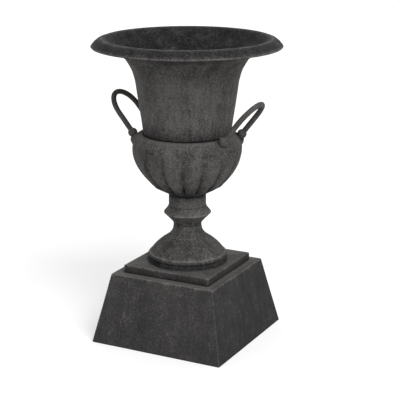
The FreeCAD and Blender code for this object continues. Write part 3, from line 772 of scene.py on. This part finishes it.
def makeBowl():
    sizes = bowlSizes
    lobeBase, lobeHeight, wall = sizes["undersideHeight"], sizes["lobeHeight"], sizes["wall"]
    shoulder = lobeBase + lobeHeight
    high = shoulder + sizes["shoulderHeight"]
    shelfUnder = high - sizes["shelf"]
    heights = [lobeHeight * k / sizes["crestSteps"] for k in range(sizes["crestSteps"] + 1)]
    crest = [(crestRadius(height), lobeBase + height) for height in heights]
    grooves = lobeRule["Groove Depth"] / mm
    inside = [(crestRadius(share * lobeHeight) - grooves * math.sqrt(1 - share) - wall,
               lobeBase + share * lobeHeight + wall / 2) for share in sizes["insideShares"]]
    roundIn = sizes["shoulderRadius"] - sizes["shelfRadius"]
    shoulderCurve = [(sizes["shoulderRadius"] - inward * roundIn, shoulder + share * sizes["shoulderHeight"])
                     for inward, share in sizes["shoulderCurve"]]
    # Painted shade: the seat's and the underside's negative shades and the -1.0 tone in the crevice under the
    # body; the shelf edge's 0.25 is wear and painted highlight
    entries = [(sizes["seatRadius"], 0, 0.4, -0.9, -0.7),
               ("curve", [(sizes["undersideRadius"], lobeBase / 2)], 4, -0.5),
               ("curve", crest[:5], 4, 0.45),
               ("curve", crest[5:], 4, 0.3),
               ("curve", shoulderCurve + [(sizes["shelfRadius"], high - 0.5)], 6, 0.7),
               (sizes["bodyFoot"] + 7, high - 0.3, 0.0, 0.25, 0.5),
               (sizes["bodyFoot"], high, 0.0, -1.0, -0.6),
               (sizes["shelfOpening"], high, 1.0, 0.0),
               (sizes["shelfOpening"], shelfUnder, 1.0, 0.0),
               (sizes["shelfRadius"] - wall, shelfUnder, 3.0, 0.0),
               ("curve", inside, 5),
               (collarSizes["radius"], sizes["floor"], 3.0, 0.0),
               (sizes["drainHole"], sizes["floor"], 1.0, 0.0),
               (sizes["drainHole"], 0, 0.5, 0.0)]
    outline = closedOutline(entries, sizes["longest"], sizes["toneReach"])
    around = lobeRule["Lobe Count"] * sizes["perLobe"]
    piece = ringShell("lobedBowl", outline, seat["bowl"], lambda radius: roundRing(radius, around))
    markOuterSkin(piece, outline, around, high)
    values = dict(lobeRule, **{"Lobe Base": seat["bowl"] + lobeBase * mm})
    applyTree(piece, lobeTree(urnFinish), values)
    settle(piece, urnFinish, "cast_urn", "lobed_bowl")


# Upper body and rim: face holds (radius, share of the rise from edge to crown), and throat holds
# (share of the way in, share of the way down) from the crown

bodySizes = {"flange": 8.0, "wall": 8.0, "flangeHole": 88.5, "insideFrom": 6.0,
             "lipInset": 2.0, "lipRise": 7.5,
             "outside": ((116.0, 0.0), (121.5, 41.1), (129.1, 91.4), (136.3, 141.8), (145.1, 171.4),
                         (162.1, 201.4), (189.0, 219.7), (216.0, 226.9))}
rimSizes = {"radius": 250.0, "edgeHeight": 5.3, "edgeThickness": 2.6, "crownRadius": 222.0,
            "crownHeight": 26.5, "seatRadius": 187.5, "seatDrop": 6.0, "innerHeight": 0.9,
            "flareRadius": 216.0, "face": ((242.2, 0.47), (232.1, 0.84)),
            "throat": ((0.3, 0.11), (0.55, 0.42), (0.8, 0.80))}


def bodyInside():
    sizes = bodySizes
    line = smoothThrough(sizes["outside"], 4)
    inside = []
    for number in range(1, len(line) - 1):
        along = (line[number + 1] - line[number - 1]).normalized()
        inside.append((line[number].x - sizes["wall"] * along.y, line[number].y + sizes["wall"] * along.x))
    return [point for point in inside if point[1] > sizes["flange"] + sizes["insideFrom"]]


def makeBody():
    sizes = bodySizes
    outside, inside = sizes["outside"], bodyInside()
    foot, lip = outside[0], outside[-1]
    # Painted shade: the foot's -1.0 tone in the crevice on the bowl, the -0.8 under the rim, and the -1.0 and
    # -1.1 inside the body
    entries = [(foot[0], 0, 0.6, -1.0, -0.3),
               ("curve", outside[1:2], 8, 0.65),
               ("curve", outside[2:4], 8, 0.7),
               ("curve", outside[4:6], 8, 0.1),
               ("curve", outside[6:], 8, -0.8),
               (lip[0] - sizes["lipInset"], lip[1] + sizes["lipRise"], 0.5, 0.0, -1.0),
               ("curve", inside[::-1], 3, -1.1),
               (foot[0] - sizes["wall"], sizes["flange"], 4.0, -0.4, -1.1),
               (sizes["flangeHole"], sizes["flange"], 1.0, 0.5),
               (sizes["flangeHole"], 0, 1.0, 0.0)]
    piece = turnedShell("flaredBody", entries, seat["body"], around=224)
    settle(piece, urnFinish, "cast_urn", "upper_body")


def makeRim():
    sizes = rimSizes
    crown, crownHeight, seatRadius = sizes["crownRadius"], sizes["crownHeight"], sizes["seatRadius"]
    edge, thickness = sizes["edgeHeight"], sizes["edgeThickness"]
    drop = crownHeight - edge
    dip = crownHeight - sizes["innerHeight"]
    throat = crown - seatRadius
    face = [(radius, edge + share * drop) for radius, share in sizes["face"]]
    inner = [(crown - across * throat, crownHeight - share * dip) for across, share in sizes["throat"]]
    # Painted shade: the negative tones and shades under the rim and down the throat into the well; the edge's
    # 0.85 and the crown's 0.6 are wear and painted highlight; the face's -0.85 and -0.8 are its dark stain
    entries = [(seatRadius, -sizes["seatDrop"], 0.5, 0.0, -0.5),
               (sizes["flareRadius"], 0, 0.5, -0.8, -0.8),
               (sizes["radius"] - thickness, edge - thickness, 0.6, 0.0, -0.3),
               (sizes["radius"], edge, 0.7, 0.85, 0.1),
               ("curve", face[:1], 6, -0.85),
               ("curve", face[1:], 6, -0.8),
               (crown, crownHeight, 2.5, 0.6, -0.2),
               ("curve", inner[:1], 6, -0.8),
               ("curve", inner[1:] + [(seatRadius, sizes["innerHeight"])], 6, -1.0)]
    piece = turnedShell("rimRing", entries, seat["crown"] - crownHeight * mm, around=256, longest=3.5)
    settle(piece, urnFinish, "cast_urn", "rim_ring")


# Handles: a bent round bar, a ball at each end and a cast boss below each ball. Heights run along
# the stud from the ball's middle. dentScale is per metre and dentReach in metres.

handleSizes = {"reach": 133.4, "ballRise": 0.7, "halfSpacing": 55.3, "length": 119.6, "tilt": 38.5,
               "turns": {"right": 0.1, "left": 182.4}, "bar": 7.2, "barUndersize": 0.15, "socketFloor": 3.5,
               "around": 28, "legSteps": 16, "bendSteps": 48, "skinToneAndShade": 0.35,
               "dent": 0.25, "dentScale": 60, "dentReach": 0.004}
ballSizes = {"radius": 12.5, "steps": 24, "seatStep": 6, "socketStep": 20, "creviceShade": -0.8,
             "around": 40, "dent": 0.25}
bossSizes = {"radius": 18.5, "steps": 5, "creviceAbove": -10, "creviceShade": -0.7, "around": 44, "dent": 1.7,
             "outline": ((0.55, -34), (0.9, -30), (1.0, -22), (0.86, -13), (0.62, -8), (0.3, -7))}
padSizes = {"radius": 13.0, "depth": 33.0, "thickness": 9.0, "around": 40, "dent": 0.1,
            "underEdge": ((1.2, 0.0), (0.3, 0.4), (0.0, 1.4)), "upperEdge": ((0.0, 1.0), (2.0, 0.0))}
solidRule = {"dentScale": 90, "skinToneAndShade": 0.3}


def studPlace(side, turn):
    sizes = handleSizes
    tilt = Matrix.Rotation(math.radians(sizes["tilt"]), 4, "Y")
    height = seat["body"] + sizes["ballRise"] * mm
    place = Matrix.Translation((sizes["reach"] * mm, side * sizes["halfSpacing"] * mm, height))
    return Matrix.Rotation(math.radians(turn), 4, "Z") @ place @ tilt


def handlePath():
    sizes = handleSizes
    half, bend = sizes["halfSpacing"], sizes["length"] - sizes["halfSpacing"]
    low, legs = sizes["socketFloor"], sizes["legSteps"]
    points = [(0, low + (bend - low) * k / legs) for k in range(legs)]
    for k in range(sizes["bendSteps"] + 1):
        angle = math.pi * k / sizes["bendSteps"]
        points.append((half - half * math.cos(angle), bend + half * math.sin(angle)))
    points += [(2 * half, bend - (bend - low) * k / legs) for k in range(1, legs + 1)]
    return [Vector((0, across, up)) * mm for across, up in points]


def makeHandle(hand, turn):
    sizes = handleSizes
    path, around = handlePath(), sizes["around"]
    side = Vector((1, 0, 0))
    verts, faces = [], []
    for number, point in enumerate(path):
        ahead = path[min(number + 1, len(path) - 1)] - path[max(number - 1, 0)]
        across = ahead.normalized().cross(side)
        for k in range(around):
            angle = 2 * math.pi * k / around
            out = side * math.cos(angle) + across * math.sin(angle)
            spot = (point + out * sizes["dentReach"]) * sizes["dentScale"] + Vector((turn, 0, 0))
            dent = sizes["dent"] * noise.noise(spot)
            verts.append(point + out * (sizes["bar"] - sizes["barUndersize"] + dent) * mm)
    for ring in range(len(path) - 1):
        start, ahead = ring * around, (ring + 1) * around
        for k in range(around):
            after = (k + 1) % around
            faces.append((start + k, ahead + k, ahead + after, start + after))
    faces.append(tuple(range(around)))
    faces.append(tuple(reversed(range((len(path) - 1) * around, len(path) * around))))
    shades = [sizes["skinToneAndShade"]] * len(verts)
    piece = meshPiece("handleBar_" + hand, verts, faces, [0.0] * len(verts), shades, studPlace(-1, turn))
    settle(piece, handleFinish, "cast_handles", "handle_" + hand)


def turnedSolid(name, profile, place, sizes, seedShift):
    around = sizes["around"]
    last = len(profile) - 1
    verts, faces, tones = [], [], []
    for radius, height, tone in profile:
        for k in range(around):
            angle = 2 * math.pi * k / around
            point = Vector((radius * math.cos(angle), radius * math.sin(angle), height)) * mm
            dent = sizes["dent"] * noise.noise(point * solidRule["dentScale"] + seedShift) * mm
            verts.append(point + point.normalized() * dent)
            tones.append(tone)
    for ring in range(last):
        faces += ringFaces(ring, ring + 1, around)
    for ring, isLower in ((0, True), (last, False)):
        verts.append(Vector((0, 0, profile[ring][1])) * mm)
        tones.append(0.0)
        for k in range(around):
            edge = (ring * around + k, ring * around + (k + 1) % around)
            faces.append((*(reversed(edge) if isLower else edge), len(verts) - 1))
    return meshPiece(name, verts, faces, tones, [solidRule["skinToneAndShade"]] * len(verts), place)


def ballProfile():
    sizes = ballSizes
    profile = []
    for k in range(1, sizes["steps"]):
        angle = math.pi * (k / sizes["steps"] - 0.5)
        # Painted shade where the ball meets the boss and the bar
        tone = sizes["creviceShade"] if k < sizes["seatStep"] or k > sizes["socketStep"] else 0.0
        profile.append((sizes["radius"] * math.cos(angle), sizes["radius"] * math.sin(angle), tone))
    return profile


def bossProfile():
    sizes = bossSizes
    points = [(share * sizes["radius"], height) for share, height in sizes["outline"]]
    profile = []
    for point in smoothThrough(points, sizes["steps"]):
        # Painted shade on the boss's top, under the ball
        tone = sizes["creviceShade"] if point.y > sizes["creviceAbove"] else 0.0
        profile.append((point.x, point.y, tone))
    return profile


def padProfile():
    radius, low = padSizes["radius"], -padSizes["depth"]
    top = low + padSizes["thickness"]
    under = [(radius - inset, low + rise, 0.0) for inset, rise in padSizes["underEdge"]]
    upper = [(radius - inset, top - drop, 0.0) for inset, drop in padSizes["upperEdge"]]
    return under + upper


def makeBallsAndBosses(hand, turn):
    for end, side in (("a", -1), ("b", 1)):
        which = "_" + hand + "_" + end
        place = studPlace(side, turn)
        seedShift = Vector((turn, side * 3.7, 1.3))
        ball = turnedSolid("handleBall" + which, ballProfile(), place, ballSizes, seedShift)
        settle(ball, handleFinish, "cast_handles", "handle_ball" + which)
        boss = turnedSolid("handleBoss" + which, bossProfile(), place, bossSizes, seedShift)
        settle(boss, handleFinish, "cast_urn", "handle_boss" + which)
        pad = turnedSolid("nutPad" + which, padProfile(), place, padSizes, seedShift)
        settle(pad, urnFinish, "cast_urn", "lobed_bowl")


makePlinth()
makeSlab()
makeFoot()
makeKnop()
makeCollar()
print("plinth, slab, foot, knop and collar made")
makeBowl()
print("bowl made")
makeBody()
makeRim()
print("upper body and rim made")
for hand, turn in handleSizes["turns"].items():
    makeHandle(hand, turn)
    makeBallsAndBosses(hand, turn)
print("handles made")

slotFinish = {"cast_plinth": plinthFinish, "cast_urn": urnFinish, "cast_handles": handleFinish,
              "zinc_fasteners": zincFinish, "drain_brass": brassFinish, "seal_rubber": rubberFinish}
for subpart in frame["record"]["subparts"]:
    node = frame["nodes"][subpart["node"]]
    node.data.materials.clear()
    node.data.materials.append(slotFinish[subpart["material_slot"]])


# Floor, light and camera, in metres and degrees, with the lens and sensor in millimetres

studio = {"floorSize": 14.0, "floorLit": 0.8, "floorGlow": 0.26, "ambient": 0.62, "white": (1, 1, 1, 1),
          "sunTurn": 52.0, "sunHeight": 44.0, "sunPower": 2.15, "sunSpread": 40.0}
photoView = {"place": (1.4629, -2.7661, 1.2555), "aim": (0.0330, 0.0093, 0.3766),
             "lens": 109.03, "sensor": 36.0}


def makeFloor():
    half = studio["floorSize"] / 2
    corners = [(-half, -half, 0), (half, -half, 0), (half, half, 0), (-half, half, 0)]
    mesh = bpy.data.meshes.new("paleFloor")
    mesh.from_pydata(corners, [], [(0, 1, 2, 3)])
    floor = addObject("paleFloor", mesh)
    material = bpy.data.materials.new("paleFloor")
    material.use_nodes = True
    tree = material.node_tree
    tree.nodes.clear()
    lit = tree.nodes.new("ShaderNodeBsdfDiffuse")
    lit.inputs["Color"].default_value = (studio["floorLit"],) * 3 + (1.0,)
    glow = tree.nodes.new("ShaderNodeEmission")
    glow.inputs["Strength"].default_value = studio["floorGlow"]
    both = tree.nodes.new("ShaderNodeAddShader")
    link(tree, lit.outputs[0], both.inputs[0])
    link(tree, glow.outputs[0], both.inputs[1])
    ray = tree.nodes.new("ShaderNodeLightPath")
    seen = mixShaders(tree, ray.outputs["Is Camera Ray"], lit.outputs[0], both.outputs[0])
    link(tree, seen, tree.nodes.new("ShaderNodeOutputMaterial").inputs["Surface"])
    floor.data.materials.append(material)


def makeWorld():
    world = bpy.data.worlds.new("studioWorld")
    world.use_nodes = True
    tree = world.node_tree
    lit = tree.nodes["Background"]
    lit.inputs["Color"].default_value = studio["white"]
    lit.inputs["Strength"].default_value = studio["ambient"]
    backdrop = tree.nodes.new("ShaderNodeBackground")
    backdrop.inputs["Color"].default_value = studio["white"]
    backdrop.inputs["Strength"].default_value = 1.0
    ray = tree.nodes.new("ShaderNodeLightPath")
    seen = mathNode(tree, "MAXIMUM", ray.outputs["Is Camera Ray"], ray.outputs["Is Glossy Ray"])
    seen = mathNode(tree, "MAXIMUM", seen, ray.outputs["Is Transmission Ray"])
    picked = mixShaders(tree, seen, lit.outputs[0], backdrop.outputs[0])
    link(tree, picked, tree.nodes["World Output"].inputs["Surface"])
    bpy.context.scene.world = world


def makeSun():
    turn, height = math.radians(studio["sunTurn"]), math.radians(studio["sunHeight"])
    lamp = bpy.data.lights.new("softSun", "SUN")
    lamp.energy = studio["sunPower"]
    lamp.angle = math.radians(studio["sunSpread"])
    sun = addObject("softSun", lamp)
    level = math.cos(height)
    towards = Vector((-math.sin(turn) * level, math.cos(turn) * level, -math.sin(height)))
    sun.rotation_euler = towards.to_track_quat("-Z", "Y").to_euler()


def makeCamera():
    lens = bpy.data.cameras.new("photoCamera")
    lens.lens = photoView["lens"]
    lens.sensor_width = photoView["sensor"]
    camera = addObject("photoCamera", lens)
    camera.location = photoView["place"]
    towards = Vector(photoView["aim"]) - Vector(photoView["place"])
    camera.rotation_euler = towards.to_track_quat("-Z", "Y").to_euler()
    bpy.context.scene.camera = camera


makeFloor()
makeWorld()
makeSun()
makeCamera()
bpy.context.scene.view_settings.view_transform = "Standard"
print("floor, light and camera made")
